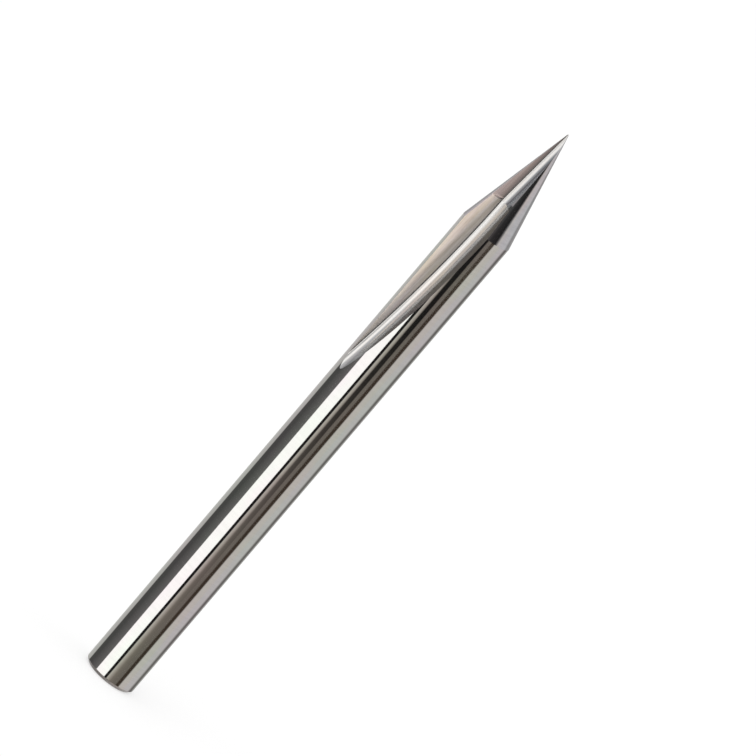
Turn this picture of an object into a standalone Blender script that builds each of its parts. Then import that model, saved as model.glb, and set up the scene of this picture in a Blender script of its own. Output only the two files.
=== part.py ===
"""V groove router bit, ground from one rod of solid carbide.

A plain round shank runs up into a slim conical point. Two straight flutes,
opposite each other, start at the point and run out of the shank on the arc
of the grinding wheel. Each flute has a flat rake face, whose outer edge is
the cutting edge, and a hollow gullet behind it. A second grind near the
point takes the flutes down to a thin web at the tip.

The bit stands on the ground end of its shank, with +Z along its axis
towards the point. The cutting edges lie in the XZ plane, and seen from the
point the bit cuts while it turns anticlockwise.
"""

import math

import bmesh
import bpy

# Blank, in metres and radians
SHANK_DIAMETER = 0.0040
OVERALL_LENGTH = 0.0500
END_CHAMFER = 0.00025
POINT_ANGLE = math.radians(25.0)
TIP_DIAMETER = 0.0001

# Flutes, placed from the tip
FLUTE_COUNT = 2
FLUTE_LENGTH = 0.0212
WHEEL_RADIUS = 0.1000
CORE_THICKNESS = 0.0012
POINT_GRIND_LENGTH = 0.0064
POINT_GRIND_HOOK = math.radians(6.0)
POINT_GRIND_RAMP = 0.00025
TIP_WEB = 0.00004

# Wheel profile: corner beside the rake face, hollow gullet, straight flank
ROOT_RADIUS = 0.0002
GULLET_RADIUS = 0.0008
GULLET_HEADING = math.radians(135.0)
FLANK_HEADING = math.radians(85.5)

# Fineness of the faceted solid
SHANK_SEGMENTS = 96
RUN_OUT_STATIONS = 30
ROOT_STEPS = 4
GULLET_STEPS = 9

# How far a cutter reaches past what it cuts
CUTTER_MARGIN = 0.0002

SHANK_RADIUS = SHANK_DIAMETER / 2
TIP_RADIUS = TIP_DIAMETER / 2
CORE_RADIUS = CORE_THICKNESS / 2
CONE_LENGTH = (SHANK_RADIUS - TIP_RADIUS) / math.tan(POINT_ANGLE / 2)
CONE_BASE_Z = OVERALL_LENGTH - CONE_LENGTH
POINT_GRIND_Z = OVERALL_LENGTH - POINT_GRIND_LENGTH


def clear_scene():
    """Remove every object that the scene holds."""
    for item in list(bpy.data.objects):
        bpy.data.objects.remove(item, do_unlink=True)


def carbide_material():
    """Ground tungsten carbide: a bright grey metal with a fine grain."""
    material = bpy.data.materials.new("ground_carbide")
    material.use_nodes = True
    shader = material.node_tree.nodes["Principled BSDF"]
    shader.inputs["Base Color"].default_value = (0.56, 0.55, 0.53, 1.0)
    shader.inputs["Metallic"].default_value = 1.0
    shader.inputs["Roughness"].default_value = 0.2
    return material


def link_mesh(mesh_builder, name):
    """Turn a bmesh into a mesh object in the scene."""
    bmesh.ops.recalc_face_normals(mesh_builder, faces=mesh_builder.faces)
    mesh = bpy.data.meshes.new(name)
    mesh_builder.to_mesh(mesh)
    mesh_builder.free()
    item = bpy.data.objects.new(name, mesh)
    bpy.context.collection.objects.link(item)
    return item


def make_blank():
    """Turn the chamfered shank and its cone from one outline."""
    outline = [
        (0.0, 0.0),
        (SHANK_RADIUS - END_CHAMFER, 0.0),
        (SHANK_RADIUS, END_CHAMFER),
        (SHANK_RADIUS, CONE_BASE_Z),
        (TIP_RADIUS, OVERALL_LENGTH),
        (0.0, OVERALL_LENGTH),
    ]
    blank = bmesh.new()
    corners = [blank.verts.new((radius, 0.0, height)) for radius, height in outline]
    edges = [blank.edges.new(pair) for pair in zip(corners, corners[1:])]
    bmesh.ops.spin(
        blank,
        geom=corners + edges,
        cent=(0.0, 0.0, 0.0),
        axis=(0.0, 0.0, 1.0),
        angle=math.tau,
        steps=SHANK_SEGMENTS,
        use_merge=True,
    )
    bmesh.ops.remove_doubles(blank, verts=blank.verts, dist=1e-7)
    return link_mesh(blank, "v_groove_bit")


def turn(path, heading, new_heading, radius, steps):
    """Carry a path round an arc, clockwise, from one heading to the next."""
    x, y = path[-1]
    centre_x = x + radius * math.sin(heading)
    centre_y = y - radius * math.cos(heading)
    for step in range(1, steps + 1):
        angle = heading + (new_heading - heading) * step / steps
        path.append((
            centre_x - radius * math.sin(angle),
            centre_y + radius * math.cos(angle),
        ))


def wheel_profile(hook):
    """Cross-section that the wheel leaves, from the corner of the flute.

    The rake face lies along +x, or leans back from it by the hook angle,
    and the flute opens towards +y. The path comes in along the rake face,
    rounds the corner, climbs the hollow gullet and follows the flank out.
    """
    reach = 2 * SHANK_DIAMETER
    inward = math.pi - hook
    corner = ROOT_RADIUS * math.tan((inward - GULLET_HEADING) / 2)
    path = [
        (reach * math.cos(hook), -reach * math.sin(hook)),
        (corner * math.cos(hook), -corner * math.sin(hook)),
    ]
    turn(path, inward, GULLET_HEADING, ROOT_RADIUS, ROOT_STEPS)
    turn(path, GULLET_HEADING, FLANK_HEADING, GULLET_RADIUS, GULLET_STEPS)
    x, y = path[-1]
    climb = SHANK_DIAMETER - y
    path.append((x + climb / math.tan(FLANK_HEADING), SHANK_DIAMETER))
    path.append((reach, SHANK_DIAMETER))
    return path


def wheel_centre_z():
    """Height at which the wheel's arc reaches the core of the bit."""
    depth = SHANK_RADIUS - CORE_RADIUS
    half_chord = math.sqrt(depth * (2 * WHEEL_RADIUS - depth))
    return OVERALL_LENGTH - FLUTE_LENGTH + half_chord


def arc_root(height):
    """Distance of the flute's corner from the axis, on the main grind."""
    below = max(wheel_centre_z() - height, 0.0)
    return CORE_RADIUS + WHEEL_RADIUS - math.sqrt(WHEEL_RADIUS**2 - below**2)


def root_distance(height):
    """Distance of the flute's corner from the axis, on both grinds."""
    if height <= POINT_GRIND_Z:
        return arc_root(height)
    start = arc_root(POINT_GRIND_Z)
    share = (height - POINT_GRIND_Z) / POINT_GRIND_LENGTH
    return start + (TIP_WEB / 2 - start) * share


def hook_angle(height):
    """How far the point grind leans the rake face back under its edge."""
    share = (height - POINT_GRIND_Z) / POINT_GRIND_RAMP
    return POINT_GRIND_HOOK * min(max(share, 0.0), 1.0)


def cutter_heights():
    """Stations up the flute, from clear of the shank to past the tip."""
    gullet_depth = -min(x for x, y in wheel_profile(0.0))
    start = SHANK_RADIUS + gullet_depth + CUTTER_MARGIN - CORE_RADIUS
    below = math.sqrt(start * (2 * WHEEL_RADIUS - start))
    lowest = wheel_centre_z() - below
    stations = [
        lowest + (POINT_GRIND_Z - lowest) * step / RUN_OUT_STATIONS
        for step in range(RUN_OUT_STATIONS + 1)
    ]
    stations.append(POINT_GRIND_Z + POINT_GRIND_RAMP)
    stations.append(OVERALL_LENGTH + CUTTER_MARGIN)
    return stations


def make_flute_cutter(index):
    """Loft the wheel's profile along the path that the wheel takes."""
    facing = math.tau * index / FLUTE_COUNT
    cutter = bmesh.new()
    rings = []
    for height in cutter_heights():
        root = root_distance(height)
        ring = []
        for x, y in wheel_profile(hook_angle(height)):
            ring.append(cutter.verts.new((
                (root + x) * math.cos(facing) - y * math.sin(facing),
                (root + x) * math.sin(facing) + y * math.cos(facing),
                height,
            )))
        rings.append(ring)
    for low, high in zip(rings, rings[1:]):
        for side in range(len(low)):
            after = (side + 1) % len(low)
            cutter.faces.new((low[side], low[after], high[after], high[side]))
    cutter.faces.new(rings[0])
    cutter.faces.new(rings[-1])
    item = link_mesh(cutter, f"flute_cutter_{index + 1}")
    item.hide_render = True
    item.display_type = "WIRE"
    return item


def cut_flutes(bit):
    """Grind each flute out of the blank."""
    for index in range(FLUTE_COUNT):
        cut = bit.modifiers.new(f"flute_{index + 1}", "BOOLEAN")
        cut.operation = "DIFFERENCE"
        cut.solver = "EXACT"
        cut.object = make_flute_cutter(index)


def main():
    clear_scene()
    bit = make_blank()
    bit.data.materials.append(carbide_material())
    bit.data.shade_smooth()
    bit.data.set_sharp_from_angle(angle=math.radians(30.0))
    cut_flutes(bit)


main()
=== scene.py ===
"""Studio picture of a solid carbide V groove router bit.

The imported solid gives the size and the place. A finer copy of the same form
replaces it here, so that its ground surfaces mirror the studio cleanly, and
each kind of surface gets a finish of its own. The bit stands on its shank end
on a white floor, and the camera leans with the photograph.

The studio that the metal mirrors is invented, and was fitted to this one view.
Headings round it are in degrees from the direction of the camera, positive to
the camera's right, and levels are in degrees above the horizon.
"""

import math

import bmesh
import bpy
from mathutils import Matrix, Vector


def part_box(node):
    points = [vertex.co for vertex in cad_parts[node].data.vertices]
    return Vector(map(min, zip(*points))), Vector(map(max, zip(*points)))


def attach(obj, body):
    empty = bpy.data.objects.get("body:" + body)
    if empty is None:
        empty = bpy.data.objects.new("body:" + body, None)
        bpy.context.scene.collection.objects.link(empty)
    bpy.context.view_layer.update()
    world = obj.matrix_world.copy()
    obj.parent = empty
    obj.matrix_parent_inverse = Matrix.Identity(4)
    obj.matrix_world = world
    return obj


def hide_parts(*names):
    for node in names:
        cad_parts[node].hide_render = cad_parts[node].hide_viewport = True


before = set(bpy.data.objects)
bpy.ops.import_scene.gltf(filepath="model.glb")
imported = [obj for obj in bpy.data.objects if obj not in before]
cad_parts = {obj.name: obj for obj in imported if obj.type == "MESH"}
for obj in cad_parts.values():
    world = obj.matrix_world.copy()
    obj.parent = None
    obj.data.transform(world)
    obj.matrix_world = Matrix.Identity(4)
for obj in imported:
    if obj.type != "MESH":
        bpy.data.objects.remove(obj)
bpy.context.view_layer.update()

NODE = "v_groove_bit"

# Form of the bit, in metres and radians, as the solid has it. The headings are
# directions of a flute's cross-section, from +x.
LOW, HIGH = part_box(NODE)
SHANK_RADIUS = (HIGH[0] - LOW[0]) / 2
LENGTH = HIGH[2] - LOW[2]
END_CHAMFER = 0.00025
CHAMFER_ANGLE = math.pi / 4
POINT_ANGLE = math.radians(25.0)
TIP_RADIUS = 0.00005
FLUTE_COUNT = 2
FLUTE_LENGTH = 0.0212
WHEEL_RADIUS = 0.1000
CORE_RADIUS = 0.0006
POINT_GRIND_LENGTH = 0.0064
POINT_GRIND_HOOK = math.radians(6.0)
POINT_GRIND_RAMP = 0.00025
TIP_WEB_RADIUS = 0.00002
ROOT_RADIUS = 0.0002
GULLET_RADIUS = 0.0008
GULLET_HEADING = math.radians(135.0)
FLANK_HEADING = math.radians(85.5)

# Radius that breaks the chamfer's edges, which the solid leaves out
EDGE_ROUND = 0.00006

# The normals of the point grind's rake face turn by this angle over one shank
# radius, and match the face at this share of the radius. Only the shading has
# this lean and hollow, and the face is flat in the mesh.
RAKE_HOLLOW = math.radians(9.0)
RAKE_TRUE_SHARE = 0.5

CONE_SLOPE = math.tan(POINT_ANGLE / 2)
CONE_LENGTH = (SHANK_RADIUS - TIP_RADIUS) / CONE_SLOPE
CONE_BASE_Z = LENGTH - CONE_LENGTH
POINT_GRIND_Z = LENGTH - POINT_GRIND_LENGTH

# Turn of each flute about the axis, and about where the first one opens to
FLUTE_TURNS = [
    Matrix.Rotation(math.tau * index / FLUTE_COUNT, 3, "Z") for index in range(FLUTE_COUNT)
]
FLUTE_OPENING = Vector((0.5, 0.866, 0.0))

# Fineness of the copy
SHANK_SEGMENTS = 288
EDGE_STEPS = 4
RUN_OUT_STATIONS = 120
ROOT_STEPS = 10
GULLET_STEPS = 28

# How far a flute cutter reaches from the flute's corner, along x and y, and by
# how much it clears the bit at its two ends
CUTTER_REACH = 4 * SHANK_RADIUS
CUTTER_TOP = 2 * SHANK_RADIUS
CUTTER_MARGIN = 0.0002

# The cutter's cross-section starts with this many points of its rake face
RAKE_POINTS = 2

# The hollow's metal is painted darker towards its flank, in both flutes: from
# and to which heading, and which share of the darkening. This is painted shade,
# which stands in for a dark reflection.
MAIN_SHADE = (math.radians(126.0), math.radians(88.0), 0.5)
POINT_SHADE = (math.radians(130.0), math.radians(100.0), 1.0)

# The photograph: where the middle of the bit lies in it, and the view
PICTURE = 756
MIDDLE_PIXEL = (336.46, 407.34)
PIXELS_PER_METRE = 14560.0
AXIS_LEAN = math.radians(40.42)
CAMERA_ELEVATION = math.radians(12.6)
CAMERA_HEADING = math.radians(63.5)
CAMERA_DISTANCE = 0.65
CAMERA_CLIP = (0.01, 10.0)
SENSOR = 36.0

# Material slots of the copy, in order
SHANK, CONE, END, RAKE, POINT_RAKE, GULLET = range(6)


def wheel_centre_z():
    """Height at which the wheel's arc reaches the core of the bit."""
    depth = SHANK_RADIUS - CORE_RADIUS
    half_chord = math.sqrt(depth * (2 * WHEEL_RADIUS - depth))
    return LENGTH - FLUTE_LENGTH + half_chord


def arc_root(height):
    """The flute's corner on the main grind: distance from the axis, slope."""
    below = max(wheel_centre_z() - height, 0.0)
    drop = math.sqrt(WHEEL_RADIUS**2 - below**2)
    return CORE_RADIUS + WHEEL_RADIUS - drop, -below / drop


def point_root(height):
    """The flute's corner on the point grind: distance from the axis, slope."""
    start = arc_root(POINT_GRIND_Z)[0]
    slope = (TIP_WEB_RADIUS - start) / POINT_GRIND_LENGTH
    return start + slope * (height - POINT_GRIND_Z), slope


def turn(path, headings, new_heading, radius, steps):
    """Carry a path round an arc, clockwise, from its heading to the next."""
    x, y = path[-1]
    heading = headings[-1]
    centre_x = x + radius * math.sin(heading)
    centre_y = y - radius * math.cos(heading)
    for step in range(1, steps + 1):
        angle = heading + (new_heading - heading) * step / steps
        path.append((
            centre_x - radius * math.sin(angle),
            centre_y + radius * math.cos(angle),
        ))
        headings.append(angle)


def wheel_profile(hook):
    """Cross-section of a flute cutter from the flute's corner, with its headings.

    The rake face lies along +x, or leans back from it by the hook angle, and
    the flute opens towards +y.
    """
    inward = math.pi - hook
    corner = ROOT_RADIUS * math.tan((inward - GULLET_HEADING) / 2)
    path = [
        (CUTTER_REACH * math.cos(hook), -CUTTER_REACH * math.sin(hook)),
        (corner * math.cos(hook), -corner * math.sin(hook)),
    ]
    headings = [inward] * RAKE_POINTS
    turn(path, headings, GULLET_HEADING, ROOT_RADIUS, ROOT_STEPS)
    turn(path, headings, FLANK_HEADING, GULLET_RADIUS, GULLET_STEPS)
    x, y = path[-1]
    path.append((x + (CUTTER_TOP - y) / math.tan(FLANK_HEADING), CUTTER_TOP))
    path.append((CUTTER_REACH, CUTTER_TOP))
    headings += [FLANK_HEADING, FLANK_HEADING]
    return path, headings


def flute_stations():
    """Height, corner distance, slope and hook at each station up a flute.

    The wheel's two grinds meet at one height, which is listed once for each.
    """
    depth = -min(x for x, y in wheel_profile(0.0)[0])
    start = SHANK_RADIUS + depth + CUTTER_MARGIN - CORE_RADIUS
    lowest = wheel_centre_z() - math.sqrt(start * (2 * WHEEL_RADIUS - start))
    stations = []
    for step in range(RUN_OUT_STATIONS + 1):
        height = lowest + (POINT_GRIND_Z - lowest) * step / RUN_OUT_STATIONS
        stations.append((height, *arc_root(height), 0.0))
    stations.append((POINT_GRIND_Z, *point_root(POINT_GRIND_Z), 0.0))
    for height in (POINT_GRIND_Z + POINT_GRIND_RAMP, LENGTH + CUTTER_MARGIN):
        stations.append((height, *point_root(height), POINT_GRIND_HOOK))
    return stations


def link_mesh(builder, name, materials):
    """Turn a bmesh into an object that carries the bit's materials."""
    mesh = bpy.data.meshes.new(name)
    builder.to_mesh(mesh)
    builder.free()
    for material in materials:
        mesh.materials.append(material)
    item = bpy.data.objects.new(name, mesh)
    bpy.context.collection.objects.link(item)
    return item


def blank_outline():
    """Radius and height up the blank, with the chamfer's edges just broken."""
    chamfer = SHANK_RADIUS - END_CHAMFER
    soft = EDGE_ROUND * math.tan(CHAMFER_ANGLE / 2)
    angles = [CHAMFER_ANGLE * step / EDGE_STEPS for step in range(EDGE_STEPS + 1)]
    outline = [
        (
            chamfer - soft + EDGE_ROUND * math.sin(angle),
            EDGE_ROUND * (1 - math.cos(angle)),
        )
        for angle in angles
    ]
    outline += [
        (
            SHANK_RADIUS - EDGE_ROUND * (1 - math.cos(angle)),
            END_CHAMFER + soft - EDGE_ROUND * math.sin(angle),
        )
        for angle in reversed(angles)
    ]
    return outline + [(SHANK_RADIUS, CONE_BASE_Z), (TIP_RADIUS, LENGTH)]


def make_blank(materials):
    """Turn the shank and its cone from the outline.

    The last two bands are the shank and the cone, and all below is the end.
    """
    blank = bmesh.new()
    blank.loops.layers.uv.new("grind")
    angles = [math.tau * side / SHANK_SEGMENTS for side in range(SHANK_SEGMENTS)]
    rings = [
        [
            blank.verts.new((radius * math.cos(angle), radius * math.sin(angle), height))
            for angle in angles
        ]
        for radius, height in blank_outline()
    ]
    blank.faces.new(rings[0][::-1]).material_index = END
    blank.faces.new(rings[-1]).material_index = CONE
    slots = [END] * (len(rings) - 3) + [SHANK, CONE]
    for low, high, slot in zip(rings, rings[1:], slots):
        for side in range(SHANK_SEGMENTS):
            after = (side + 1) % SHANK_SEGMENTS
            face = blank.faces.new((low[side], low[after], high[after], high[side]))
            face.material_index = slot
    return link_mesh(blank, "bit", materials)


def flute_rings(cutter, facing, stations):
    """Rings of corners up the cutter, one for each station.

    Two stations at the same height share one ring.
    """
    rings = []
    last_height = None
    for height, root, slope, hook in stations:
        if height == last_height:
            rings.append(rings[-1])
            continue
        last_height = height
        rings.append([
            cutter.verts.new(facing @ Vector((root + x, y, height)))
            for x, y in wheel_profile(hook)[0]
        ])
    return rings


def ground_heading(point, hook):
    """Heading of the shaded surface at one point of the wheel's profile."""
    path, headings = wheel_profile(hook)
    if not hook or point >= RAKE_POINTS:
        return headings[point]
    share = path[point][0] / SHANK_RADIUS
    return headings[point] + RAKE_HOLLOW * (share - RAKE_TRUE_SHARE)


def make_flute_cutter(index, materials):
    """Loft the wheel's profile up one flute.

    The layer named grind keeps the heading to shade by and the slope of the
    flute at each corner of each face, for the normals. The first side of the
    profile is the rake face.
    """
    cutter = bmesh.new()
    grind = cutter.loops.layers.uv.new("grind")
    stations = flute_stations()
    slopes = [slope for height, root, slope, hook in stations]
    hooks = [hook for height, root, slope, hook in stations]
    rings = flute_rings(cutter, FLUTE_TURNS[index], stations)
    for high in range(1, len(rings)):
        low = high - 1
        if rings[low] is rings[high]:
            continue
        rake = POINT_RAKE if hooks[high] else RAKE
        for side in range(len(rings[low])):
            after = (side + 1) % len(rings[low])
            corners = ((low, after), (low, side), (high, side), (high, after))
            face = cutter.faces.new([rings[ring][point] for ring, point in corners])
            face.material_index = rake if side == 0 else GULLET
            for loop, (ring, point) in zip(face.loops, corners):
                loop[grind].uv = (ground_heading(point, hooks[ring]), slopes[ring])
    cutter.faces.new(rings[0])
    cutter.faces.new(rings[-1][::-1])
    return link_mesh(cutter, f"flute_cutter_{index + 1}", materials)


def ground_normal(place, slot, heading, slope):
    """Direction to shade one point of a turned or ground surface by.

    The ramp between the two rake grinds is shaded as if it were upright, and
    the small flat of the tip like the cone. Neither follows the mesh.
    """
    away = Vector((place.x, place.y, 0.0)).normalized()
    if slot == SHANK:
        return away
    if slot == CONE:
        return (away + Vector((0.0, 0.0, CONE_SLOPE))).normalized()
    local = Vector((
        math.sin(heading), -math.cos(heading), -math.sin(heading) * slope,
    )).normalized()
    nearest = max(FLUTE_TURNS, key=lambda facing: place.dot(facing @ FLUTE_OPENING))
    return nearest @ local


def smooth_grinding(mesh):
    """Give each corner of the mesh the direction to shade it by.

    The attribute named flank is the share of the painted shade at the flank
    that each corner of the hollow gets.
    """
    mesh.shade_smooth()
    grind = mesh.uv_layers["grind"].data
    turned = mesh.corner_normals
    flank = []
    normals = []
    for face in mesh.polygons:
        bright, dark, most = POINT_SHADE if face.center.z > POINT_GRIND_Z else MAIN_SHADE
        for corner in face.loop_indices:
            heading, slope = grind[corner].uv
            share = min(max((bright - heading) / (bright - dark), 0.0), 1.0)
            flank.append(most * share if face.material_index == GULLET else 0.0)
            if face.material_index == END:
                normals.append(turned[corner].vector.copy())
                continue
            place = mesh.vertices[mesh.loops[corner].vertex_index].co
            normals.append(ground_normal(place, face.material_index, heading, slope))
    mesh.normals_split_custom_set(normals)
    mesh.attributes.new("flank", "FLOAT", "CORNER").data.foreach_set("value", flank)
    mesh.uv_layers.remove(mesh.uv_layers["grind"])


def make_bit(materials):
    """The finer copy of the bit: its blank with both flutes ground out."""
    bit = make_blank(materials)
    cutters = [make_flute_cutter(index, materials) for index in range(FLUTE_COUNT)]
    for cutter in cutters:
        cut = bit.modifiers.new(cutter.name, "BOOLEAN")
        cut.operation = "DIFFERENCE"
        cut.solver = "EXACT"
        cut.object = cutter
    graph = bpy.context.evaluated_depsgraph_get()
    mesh = bpy.data.meshes.new_from_object(bit.evaluated_get(graph))
    bit.modifiers.clear()
    bit.data = mesh
    for cutter in cutters:
        bpy.data.objects.remove(cutter, do_unlink=True)
    smooth_grinding(mesh)
    return bit


# Sockets of a Mix node that mixes colours
MIX_SHARE, MIX_FIRST, MIX_SECOND, MIX_RESULT = 0, 6, 7, 2


class Nodes:
    """Short way to add and join the nodes of one node tree."""

    def __init__(self, tree):
        self.tree = tree
        self.tree.nodes.clear()

    def add(self, kind, **settings):
        """Add a node with the given settings."""
        node = self.tree.nodes.new(kind)
        for name, value in settings.items():
            setattr(node, name, value)
        return node

    def join(self, source, target):
        """Link a node's output to an input, or write a plain value there."""
        if isinstance(source, bpy.types.NodeSocket):
            self.tree.links.new(source, target)
        else:
            target.default_value = source

    def maths(self, operation, first, second=0.0):
        """Result of one operation on one or two numbers."""
        node = self.add("ShaderNodeMath", operation=operation)
        self.join(first, node.inputs[0])
        self.join(second, node.inputs[1])
        return node.outputs[0]

    def mix(self, share, first, second, blend="MIX"):
        """Blend one colour with another."""
        node = self.add("ShaderNodeMix", data_type="RGBA", blend_type=blend)
        self.join(share, node.inputs[MIX_SHARE])
        self.join(first, node.inputs[MIX_FIRST])
        self.join(second, node.inputs[MIX_SECOND])
        return node.outputs[MIX_RESULT]

    def spread(self, value, source, target, smooth=False):
        """Map a value from one range to another, held at its ends."""
        node = self.add("ShaderNodeMapRange")
        node.interpolation_type = "SMOOTHSTEP" if smooth else "LINEAR"
        self.join(value, node.inputs["Value"])
        for name, number in zip(("From Min", "From Max", "To Min", "To Max"), source + target):
            node.inputs[name].default_value = number
        return node.outputs[0]


# Part of a noise's range that is stretched to run from 0 to 1
NOISE_RANGE = (0.32, 0.68)
RAKE_ANISOTROPY = 0.8
WHITE = (1.0, 1.0, 1.0, 1.0)


def grain(nodes, per_metre, lean=0.0, detail=3.0):
    """Noise from 0 to 1 in the bit's own frame, with grains per metre.

    The grains lean about y by an angle, for marks that cross a face.
    """
    mapping = nodes.add("ShaderNodeMapping")
    mapping.inputs["Scale"].default_value = per_metre
    place = nodes.add("ShaderNodeTexCoord").outputs["Object"]
    if lean:
        tilt = nodes.add("ShaderNodeVectorRotate", rotation_type="Y_AXIS")
        tilt.inputs["Angle"].default_value = lean
        nodes.join(place, tilt.inputs["Vector"])
        place = tilt.outputs[0]
    nodes.join(place, mapping.inputs["Vector"])
    texture = nodes.add("ShaderNodeTexNoise")
    texture.inputs["Scale"].default_value = 1.0
    texture.inputs["Detail"].default_value = detail
    nodes.join(mapping.outputs[0], texture.inputs["Vector"])
    return nodes.spread(texture.outputs["Fac"], NOISE_RANGE, (0.0, 1.0))


def paint_flank_shade(nodes, colour, painted_shade):
    """Paint shade onto a colour across the hollow, darker towards the flank."""
    flank = nodes.add("ShaderNodeAttribute", attribute_name="flank").outputs["Fac"]
    shade = nodes.mix(flank, WHITE, (*painted_shade, 1.0))
    return nodes.mix(1.0, colour, shade, "MULTIPLY")


def spread_along_axis(nodes, shader):
    """Spread a rake face's shine up and down, more than from side to side."""
    upward = nodes.add("ShaderNodeVectorMath", operation="MULTIPLY")
    nodes.join(nodes.add("ShaderNodeTexCoord").outputs["Object"], upward.inputs[0])
    upward.inputs[1].default_value = (0.0, 0.0, 1.0)
    nodes.join(upward.outputs[0], shader.inputs["Tangent"])
    shader.inputs["Anisotropic"].default_value = RAKE_ANISOTROPY


def ground_metal(name, tones, stains, roughness, marks, film, depth, lean=0.0,
                 flank=None, rake=False):
    """A ground carbide surface: fine grinding marks under a thin broad film.

    The marks run from the first tone to the second and stand depth metres
    high, and the film from the first stain to the second. Both roughen the
    surface. marks and film are grains per metre along x, y and z. flank is the
    colour of the painted shade at the hollow's flank, and rake is for a shine
    that spreads upward.
    """
    material = bpy.data.materials.new(name)
    material.use_nodes = True
    nodes = Nodes(material.node_tree)
    fine = grain(nodes, marks, lean)
    broad = grain(nodes, film, detail=2.0)
    tone = nodes.mix(fine, *((*colour, 1.0) for colour in tones))
    stain = nodes.mix(broad, *((*colour, 1.0) for colour in stains))
    colour = nodes.mix(1.0, tone, stain, "MULTIPLY")
    if flank:
        colour = paint_flank_shade(nodes, colour, flank)
    average = nodes.maths("MULTIPLY", nodes.maths("ADD", fine, broad), 0.5)
    shader = nodes.add("ShaderNodeBsdfPrincipled")
    shader.inputs["Metallic"].default_value = 1.0
    nodes.join(colour, shader.inputs["Base Color"])
    nodes.join(nodes.spread(average, (0.0, 1.0), roughness), shader.inputs["Roughness"])
    if rake:
        spread_along_axis(nodes, shader)
    bump = nodes.add("ShaderNodeBump")
    bump.inputs["Distance"].default_value = depth
    nodes.join(fine, bump.inputs["Height"])
    nodes.join(bump.outputs[0], shader.inputs["Normal"])
    output = nodes.add("ShaderNodeOutputMaterial")
    nodes.join(shader.outputs[0], output.inputs["Surface"])
    return material


def bit_materials():
    """One finish for each kind of surface, in the order of the slots.

    The rake faces are lighter than carbide is, for the photograph's tones: painted light,
    which stands in for bright light falling on them.
    """
    pinkish = (1.0, 0.925, 0.95)
    greenish = (0.945, 0.985, 0.92)
    bluish = (0.95, 0.97, 1.0)
    return [
        ground_metal(
            "shank_ground", [(0.61, 0.605, 0.595), (0.64, 0.635, 0.625)],
            [pinkish, greenish], roughness=(0.045, 0.065),
            marks=(500.0, 500.0, 4000.0), film=(450.0, 450.0, 150.0), depth=3e-9,
        ),
        ground_metal(
            "cone_ground", [(0.59, 0.585, 0.575), (0.65, 0.64, 0.625)],
            [pinkish, bluish], roughness=(0.06, 0.10),
            marks=(900.0, 900.0, 5000.0), film=(900.0, 900.0, 420.0), depth=6e-9,
        ),
        # Painted shade: the end's tones are far darker than carbide, and stand in for the dark
        # below the bit that the end and its chamfer would mirror. Its roughness is its own
        # finish.
        ground_metal(
            "end_ground", [(0.17, 0.155, 0.15), (0.27, 0.25, 0.245)],
            [(1.0, 0.93, 0.93), greenish], roughness=(0.25, 0.38),
            marks=(9000.0, 9000.0, 9000.0), film=(1200.0, 1200.0, 1200.0), depth=2e-7,
        ),
        # Painted light: tones lighter than carbide, which stand in for bright light on the
        # rake face
        ground_metal(
            "rake_ground", [(0.70, 0.64, 0.57), (0.95, 0.915, 0.87)],
            [(1.0, 0.96, 0.88), (0.98, 0.92, 0.94)], roughness=(0.28, 0.34),
            marks=(4500.0, 4500.0, 200.0), film=(1600.0, 1600.0, 260.0), depth=3e-8,
            lean=math.radians(3.5), rake=True,
        ),
        ground_metal(
            "point_rake_ground", [(0.53, 0.48, 0.46), (0.66, 0.61, 0.59)],
            [(1.0, 0.95, 0.94), (0.97, 0.92, 0.95)], roughness=(0.08, 0.13),
            marks=(7000.0, 7000.0, 260.0), film=(2200.0, 2200.0, 500.0), depth=5e-9,
            lean=math.radians(4.0),
        ),
        ground_metal(
            "gullet_ground", [(0.61, 0.61, 0.60), (0.66, 0.66, 0.65)],
            [(1.0, 0.975, 0.965), (0.97, 0.985, 1.0)], roughness=(0.14, 0.19),
            marks=(7000.0, 7000.0, 160.0), film=(1600.0, 1600.0, 260.0), depth=5e-9,
            # Painted shade at the hollow's flank, which stands in for a dark reflection
            flank=(0.33, 0.375, 0.43),
        ),
    ]


# What the metal mirrors round the studio, as (heading, colour) points. The
# lands see one level, the flutes a little higher, the flutes' run-out higher
# still and the cone above that.
LEFT_WALL = (0.64, 0.64, 0.63)
FLAG = (0.095, 0.097, 0.096)
FLAG_NEAR_STRIP = (0.185, 0.187, 0.185)
STRIP_LIGHT = (1.60, 1.61, 1.62)
WARM_STRIP = (1.60, 1.54, 1.49)
BLACK = (0.012, 0.012, 0.012)
SLIT = (0.70, 0.67, 0.62)
GREY_BROWN = (0.28, 0.248, 0.216)
BROWN = (0.212, 0.19, 0.168)
DARK_BROWN = (0.062, 0.047, 0.035)
WARM_WALL = (0.735, 0.71, 0.68)
GREY_WALL = (0.71, 0.705, 0.72)
BRIGHT_WALL = (1.60, 1.53, 1.45)
SHADE = (0.19, 0.185, 0.18)
RIGHT_WALL = (0.50, 0.50, 0.49)
PINK_WALL = (0.8, 0.76, 0.78)


def grey(level):
    """A colour with the same level of red, green and blue."""
    return (level, level, level)


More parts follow.
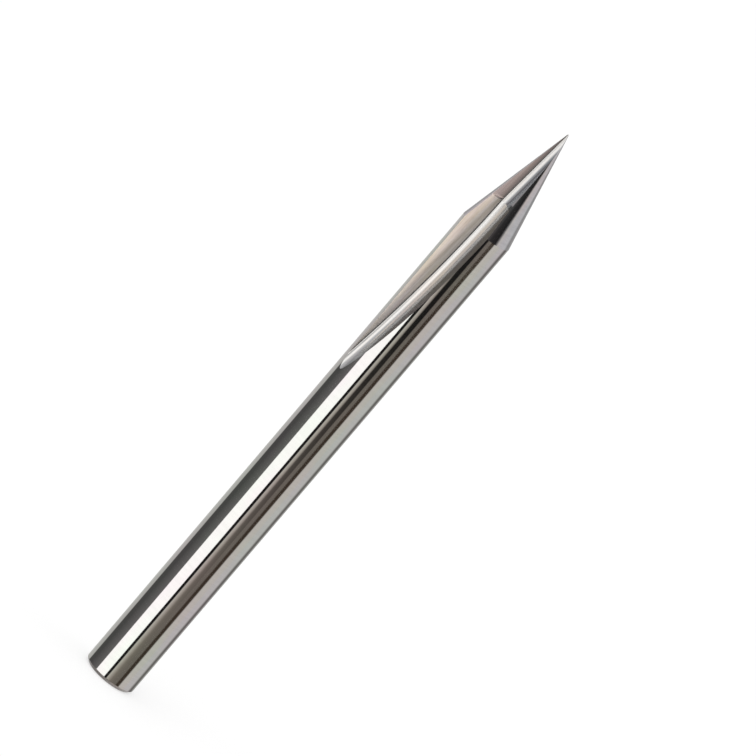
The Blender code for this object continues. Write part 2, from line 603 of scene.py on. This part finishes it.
LEFT_OF_CAMERA = [
    (-180, LEFT_WALL), (-122, LEFT_WALL), (-118, FLAG), (-98, FLAG),
    (-55, FLAG_NEAR_STRIP), (-53.5, STRIP_LIGHT), (-11, STRIP_LIGHT), (-10, BLACK),
    (-0.2, BLACK), (1.0, SLIT),
]
RIGHT_OF_CAMERA = [
    (45, BROWN), (50, DARK_BROWN), (60, DARK_BROWN), (65, WARM_WALL), (85, WARM_WALL),
    (95, GREY_WALL), (117, GREY_WALL), (131, SHADE), (146, SHADE), (153, RIGHT_WALL),
    (180, RIGHT_WALL),
]
LANDS_NEAR_END = LEFT_OF_CAMERA + [
    (11, (0.48, 0.43, 0.39)), (20, GREY_BROWN), (36, BROWN),
] + RIGHT_OF_CAMERA
LANDS = LEFT_OF_CAMERA + [
    (10, (0.47, 0.43, 0.39)), (15.5, BLACK), (31, BLACK), (34, BROWN),
] + RIGHT_OF_CAMERA
RIGHT_OF_FLUTES = [
    (-6, grey(0.14)), (12, grey(0.1)), (26, (0.19, 0.17, 0.155)), (30, grey(0.06)),
    (32, grey(0.12)), (35, (0.62, 0.58, 0.56)), (40, (1.05, 0.98, 0.95)),
    (50, BRIGHT_WALL), (72, BRIGHT_WALL), (82, WARM_WALL), (95, GREY_WALL),
    (117, GREY_WALL), (131, grey(0.36)), (150, grey(0.4)), (180, grey(0.42)),
]
FLUTES = [
    (-180, grey(0.42)), (-110, grey(0.45)), (-80, grey(0.8)), (-68, WARM_STRIP),
    (-50, WARM_STRIP), (-42, (1.3, 1.26, 1.22)), (-34, grey(0.95)),
    (-20, (1.4, 1.36, 1.3)), (-9, WARM_STRIP),
] + RIGHT_OF_FLUTES
RUN_OUT = [
    (-180, grey(0.42)), (-150, PINK_WALL), (-100, PINK_WALL), (-78, grey(0.9)),
    (-68, WARM_STRIP), (-57, WARM_STRIP), (-48, grey(0.75)), (-42, grey(0.35)),
    (-36, grey(0.2)), (-30, grey(0.3)), (-25, WARM_STRIP), (-13, WARM_STRIP),
    (-10, grey(0.2)),
] + RIGHT_OF_FLUTES
CONE_LEVEL = [
    (-180, grey(0.42)), (-110, grey(0.42)), (-75, grey(0.6)), (-62, STRIP_LIGHT),
    (-15, STRIP_LIGHT), (-6, grey(0.15)), (12, grey(0.14)), (24, grey(0.105)),
    (36, grey(0.04)), (62, grey(0.02)), (68, grey(0.2)), (75, WARM_WALL),
    (90, GREY_WALL), (114, GREY_WALL), (128, grey(0.42)), (144, grey(0.36)),
    (154, grey(0.45)), (180, grey(0.45)),
]
TABLE = [
    (-180, grey(0.9)), (-120, grey(0.5)), (-65, grey(0.5)), (-45, STRIP_LIGHT),
    (-9, STRIP_LIGHT), (-2, grey(0.06)), (24, grey(0.06)), (38, BRIGHT_WALL),
    (105, BRIGHT_WALL), (125, grey(1.0)), (180, grey(0.9)),
]
CEILING = (1.3, 1.3, 1.3, 1.0)

# The rings above the table, each with the level where it starts and how softly
RINGS = (
    (LANDS_NEAR_END, (-18.0, 1.0)),
    (LANDS, (-13.7, 1.4)),
    (FLUTES, (-10.5, 0.35)),
    (RUN_OUT, (-2.0, 2.0)),
    (CONE_LEVEL, (4.0, 2.0)),
)
CEILING_FROM = (42.0, 6.0)


def studio_ring(nodes, turn_share, points):
    """Colours round one level of the studio, over a turn's share of 0 to 1."""
    ring = nodes.add("ShaderNodeValToRGB")
    stops = ring.color_ramp.elements
    stops.remove(stops[-1])
    stops[0].position = 0.0
    stops[0].color = (*points[0][1], 1.0)
    for heading, colour in points[1:]:
        stops.new(heading / 360 + 0.5).color = (*colour, 1.0)
    nodes.join(turn_share, ring.inputs[0])
    return ring.outputs[0]


def above(nodes, level, start, softness):
    """0 below the start and 1 above it, with a soft step between."""
    limits = (math.radians(start - softness), math.radians(start + softness))
    return nodes.spread(level, limits, (0.0, 1.0), smooth=True)


def mirrored_studio(nodes):
    """The studio in every direction, from the table up to the ceiling."""
    look = nodes.add("ShaderNodeTexCoord").outputs["Generated"]
    turned = nodes.add("ShaderNodeVectorRotate", rotation_type="Z_AXIS")
    turned.inputs["Angle"].default_value = -CAMERA_HEADING
    nodes.join(look, turned.inputs["Vector"])
    parts = nodes.add("ShaderNodeSeparateXYZ")
    nodes.join(turned.outputs[0], parts.inputs[0])
    heading = nodes.maths("ARCTAN2", parts.outputs["Y"], parts.outputs["X"])
    turn_share = nodes.maths("ADD", nodes.maths("DIVIDE", heading, math.tau), 0.5)
    level = nodes.maths("ARCSINE", parts.outputs["Z"])
    studio = studio_ring(nodes, turn_share, TABLE)
    for points, edge in RINGS:
        ring = studio_ring(nodes, turn_share, points)
        studio = nodes.mix(above(nodes, level, *edge), studio, ring)
    return nodes.mix(above(nodes, level, *CEILING_FROM), studio, CEILING)


def make_world():
    """A white background to the camera, and the studio to all other rays.

    So the metal mirrors the studio, and not the white background.
    """
    world = bpy.data.worlds.new("studio")
    bpy.context.scene.world = world
    world.use_nodes = True
    nodes = Nodes(world.node_tree)
    rays = nodes.add("ShaderNodeLightPath")
    background = nodes.add("ShaderNodeBackground")
    colour = nodes.mix(rays.outputs["Is Camera Ray"], mirrored_studio(nodes), WHITE)
    nodes.join(colour, background.inputs["Color"])
    output = nodes.add("ShaderNodeOutputWorld")
    nodes.join(background.outputs[0], output.inputs["Surface"])


# Grey in the studio's light, with a glow that only the camera sees and that
# brings the floor to white outside the shadow
FLOOR_SIZE = 4.0
FLOOR_GREY = (0.4, 0.4, 0.4, 1.0)
FLOOR_GLOW = 0.63


def make_floor():
    """A white floor that keeps the bit's soft shadow, and that isn't mirrored."""
    bpy.ops.mesh.primitive_plane_add(size=FLOOR_SIZE)
    floor = bpy.context.object
    floor.name = "floor"
    floor.visible_glossy = False
    material = bpy.data.materials.new("floor_white")
    material.use_nodes = True
    nodes = Nodes(material.node_tree)
    matter = nodes.add("ShaderNodeBsdfDiffuse")
    matter.inputs["Color"].default_value = FLOOR_GREY
    rays = nodes.add("ShaderNodeLightPath")
    glow = nodes.add("ShaderNodeEmission")
    strength = nodes.maths("MULTIPLY", rays.outputs["Is Camera Ray"], FLOOR_GLOW)
    nodes.join(strength, glow.inputs["Strength"])
    both = nodes.add("ShaderNodeAddShader")
    nodes.join(matter.outputs[0], both.inputs[0])
    nodes.join(glow.outputs[0], both.inputs[1])
    output = nodes.add("ShaderNodeOutputMaterial")
    nodes.join(both.outputs[0], output.inputs["Surface"])
    floor.data.materials.append(material)


def make_camera():
    """Look down on the bit from a little above, leaned with the photograph."""
    back = Vector((
        math.cos(CAMERA_ELEVATION) * math.cos(CAMERA_HEADING),
        math.cos(CAMERA_ELEVATION) * math.sin(CAMERA_HEADING),
        math.sin(CAMERA_ELEVATION),
    ))
    level = Vector((-math.sin(CAMERA_HEADING), math.cos(CAMERA_HEADING), 0.0))
    upright = back.cross(level)
    right = math.cos(AXIS_LEAN) * level + math.sin(AXIS_LEAN) * upright
    up = math.cos(AXIS_LEAN) * upright - math.sin(AXIS_LEAN) * level
    across = (PICTURE / 2 - MIDDLE_PIXEL[0]) / PIXELS_PER_METRE
    rise = (MIDDLE_PIXEL[1] - PICTURE / 2) / PIXELS_PER_METRE
    middle = Vector((0.0, 0.0, LENGTH / 2))
    place = middle + across * right + rise * up + CAMERA_DISTANCE * back
    data = bpy.data.cameras.new("camera")
    data.sensor_width = SENSOR
    data.lens = SENSOR * CAMERA_DISTANCE * PIXELS_PER_METRE / PICTURE
    data.clip_start, data.clip_end = CAMERA_CLIP
    camera = bpy.data.objects.new("camera", data)
    bpy.context.collection.objects.link(camera)
    axes = Matrix((right, up, back)).transposed()
    camera.matrix_world = Matrix.Translation(place) @ axes.to_4x4()
    bpy.context.scene.camera = camera


def main():
    """Replace the node by the finer copy, and set the stage round it."""
    bit = make_bit(bit_materials())
    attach(bit, "root")
    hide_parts(NODE)
    make_floor()
    make_world()
    make_camera()
    bpy.context.scene.view_settings.view_transform = "Standard"


main()
